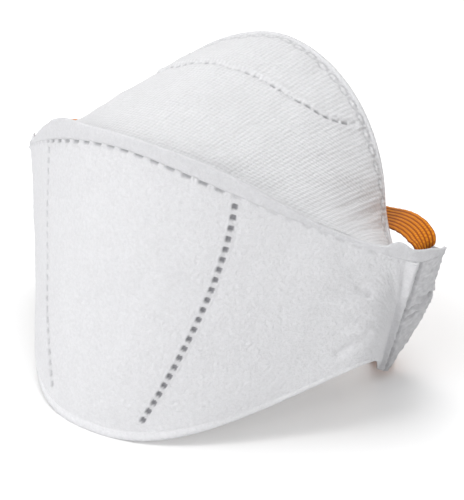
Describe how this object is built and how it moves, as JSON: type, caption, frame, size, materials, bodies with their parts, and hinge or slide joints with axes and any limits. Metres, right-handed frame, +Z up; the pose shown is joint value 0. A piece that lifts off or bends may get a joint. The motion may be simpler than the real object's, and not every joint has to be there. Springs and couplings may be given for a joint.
{
  "type": "disposable dust mask",
  "caption": "White flat-fold disposable respirator that covers nose and mouth, opened out, with side tabs that hold an elastic head and neck strap.",
  "frame": {"origin": "the rest in the middle of the chin edge, on the centre plane; z = 0 is the plane the chin edge and the tab tips stand on", "axes": "+Z up, +Y from the front of the mask towards the wearer's face, +X towards the tab at the viewer's right when the mask is seen from the front"},
  "size_m": [0.1656, 0.1156, 0.1056],
  "materials": {
    "cover_fabric": "matte embossed spunbond nonwoven",
    "crown_fabric": "matte nonwoven with a fine embossed grid",
    "filter_web": "soft melt-blown fibre web",
    "liner_fabric": "soft smooth nonwoven",
    "welded_edge": "pressed and fused nonwoven, slightly glossy",
    "clip_metal": "satin rolled strip",
    "foam": "open-cell soft foam",
    "elastic": "ribbed elastic braid"
  },
  "bodies": {
    "mask": {"lower_cover": "cover_fabric", "lower_filter": "filter_web", "lower_liner": "liner_fabric", "chin_hem": "welded_edge", "seam_lip": "welded_edge", "upper_cover": "crown_fabric", "upper_filter": "filter_web", "upper_liner": "liner_fabric", "upper_hem": "welded_edge", "nose_clip": "clip_metal", "nose_foam": "foam", "tab_outer_right": "cover_fabric", "tab_outer_left": "cover_fabric", "tab_inner_right": "liner_fabric", "tab_inner_left": "liner_fabric", "strap_run_right": "elastic", "strap_run_left": "elastic"},
    "head_loop": {"head_strap": "elastic"},
    "neck_loop": {"neck_strap": "elastic"}
  },
  "joints": [
    {"name": "head_strap_swing", "type": "hinge", "parent": "mask", "child": "head_loop", "pos_m": [0, 0.0692, 0.059], "axis": [1, 0, 0], "range_deg": [-30, 10]},
    {"name": "neck_strap_swing", "type": "hinge", "parent": "mask", "child": "neck_loop", "pos_m": [0, 0.0854, 0.0147], "axis": [1, 0, 0], "range_deg": [0, 20]}
  ]
}
